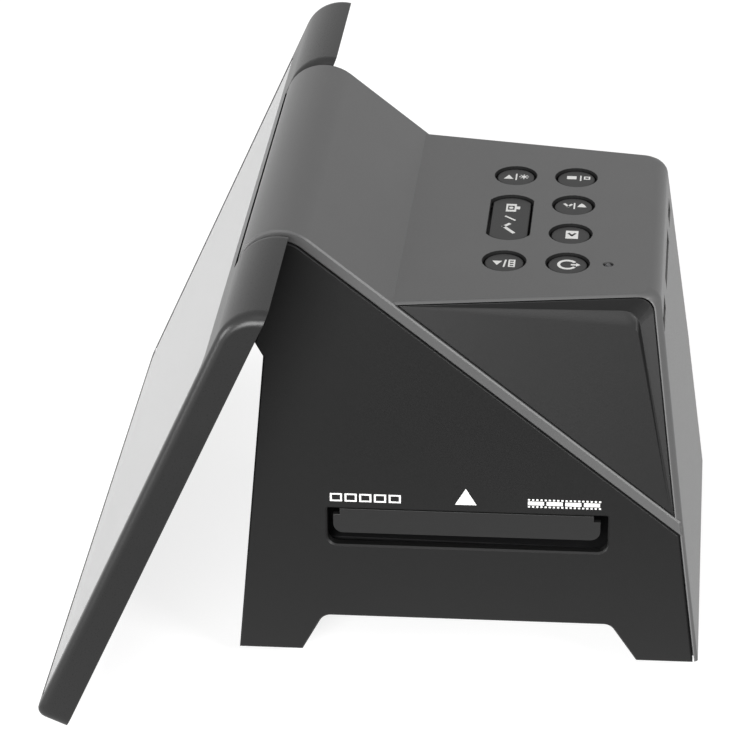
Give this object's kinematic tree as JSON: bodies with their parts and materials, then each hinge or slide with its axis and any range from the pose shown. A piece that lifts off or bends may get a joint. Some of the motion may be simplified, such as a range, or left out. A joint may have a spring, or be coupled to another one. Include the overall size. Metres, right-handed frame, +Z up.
{
  "type": "film negative scanner",
  "caption": "Desktop film scanner: a wedge-shaped case with a slot through it for a film holder, keys on its rear deck and a wide tilting display hinged on a rounded hump at the front.",
  "frame": {"origin": "middle of the footprint of the whole scanner, at the level of the feet's undersides", "axes": "+X to the right as seen from the display's side, +Y from the display to the rear wall, +Z up"},
  "size_m": [0.1732, 0.1546, 0.1158],
  "materials": {
    "grey_housing_plastic": "fine moulded texture, dark grey",
    "black_housing_plastic": "fine moulded texture, near black",
    "charcoal_panel_plastic": "fine moulded texture, charcoal",
    "display_housing_plastic": "satin charcoal plastic",
    "key_plastic": "satin charcoal plastic with printed pictograms",
    "foot_rubber": "matt",
    "screw_steel": "zinc plated",
    "hinge_steel": "stamped and turned steel",
    "inner_black_plastic": "plain matt",
    "white_plastic": "plain matt white",
    "opal_diffuser": "opal acrylic",
    "light_pipe": "clear to milky acrylic",
    "circuit_board": "solder resist green",
    "socket_metal": "tin plated sheet",
    "cover_glass": "clear front glass over the screen",
    "lcd_glass": "liquid crystal panel with its backlight"
  },
  "bodies": {
    "case": {"top_cover": "grey_housing_plastic", "lower_case": "black_housing_plastic", "bottom_cover": "black_housing_plastic", "deck_panel_left": "charcoal_panel_plastic", "deck_panel_right": "charcoal_panel_plastic", "foot_front_left": "foot_rubber", "foot_front_right": "foot_rubber", "foot_rear_left": "foot_rubber", "foot_rear_right": "foot_rubber", "case_screw_1": "screw_steel", "case_screw_2": "screw_steel", "case_screw_3": "screw_steel", "case_screw_4": "screw_steel", "hinge_bracket_left": "hinge_steel", "hinge_bracket_right": "hinge_steel", "flap_pin": "hinge_steel", "gate_floor": "inner_black_plastic", "gate_roof": "inner_black_plastic", "camera_tower": "inner_black_plastic", "lens_barrel": "inner_black_plastic", "light_box": "white_plastic", "light_board": "white_plastic", "diffuser": "opal_diffuser", "status_light": "light_pipe", "main_board": "circuit_board", "sensor_board": "circuit_board", "usb_socket": "socket_metal", "card_socket": "socket_metal", "video_socket": "socket_metal"},
    "display": {"display_housing": "display_housing_plastic", "display_back_cover": "black_housing_plastic", "cover_glass": "cover_glass", "lcd_panel": "lcd_glass", "display_board": "circuit_board", "hinge_shaft_left": "hinge_steel", "hinge_shaft_right": "hinge_steel"},
    "flap": {"dust_flap": "charcoal_panel_plastic"},
    "key_up": {"key_up": "key_plastic"},
    "key_capture": {"key_capture": "key_plastic"},
    "key_down": {"key_down": "key_plastic"},
    "key_edit": {"key_edit": "key_plastic"},
    "key_adjust": {"key_adjust": "key_plastic"},
    "key_save": {"key_save": "key_plastic"},
    "key_power": {"key_power": "key_plastic"}
  },
  "joints": [
    {"name": "display_tilt", "type": "hinge", "parent": "case", "child": "display", "pos_m": [0, -0.02154, 0.10527], "axis": [-1, 0, 0], "range_deg": [0, 50]},
    {"name": "flap_swing", "type": "hinge", "parent": "case", "child": "flap", "pos_m": [0.04242, 0.02124, 0.04294], "axis": [-0.0214, 0.9998, 0], "range_deg": [0, 85], "stiffness_Nm_per_rad": 0.001, "springref_deg": -28.65},
    {"name": "up_press", "type": "slide", "parent": "case", "child": "key_up", "axis": [0, 0, -1], "range_m": [0, 0.0006], "stiffness_N_per_m": 1500},
    {"name": "capture_press", "type": "slide", "parent": "case", "child": "key_capture", "axis": [0, 0, -1], "range_m": [0, 0.0006], "stiffness_N_per_m": 1500},
    {"name": "down_press", "type": "slide", "parent": "case", "child": "key_down", "axis": [0, 0, -1], "range_m": [0, 0.0006], "stiffness_N_per_m": 1500},
    {"name": "edit_press", "type": "slide", "parent": "case", "child": "key_edit", "axis": [0, 0, -1], "range_m": [0, 0.0006], "stiffness_N_per_m": 1500},
    {"name": "adjust_press", "type": "slide", "parent": "case", "child": "key_adjust", "axis": [0, 0, -1], "range_m": [0, 0.0006], "stiffness_N_per_m": 1500},
    {"name": "save_press", "type": "slide", "parent": "case", "child": "key_save", "axis": [0, 0, -1], "range_m": [0, 0.0006], "stiffness_N_per_m": 1500},
    {"name": "power_press", "type": "slide", "parent": "case", "child": "key_power", "axis": [0, 0, -1], "range_m": [0, 0.0006], "stiffness_N_per_m": 1500}
  ]
}
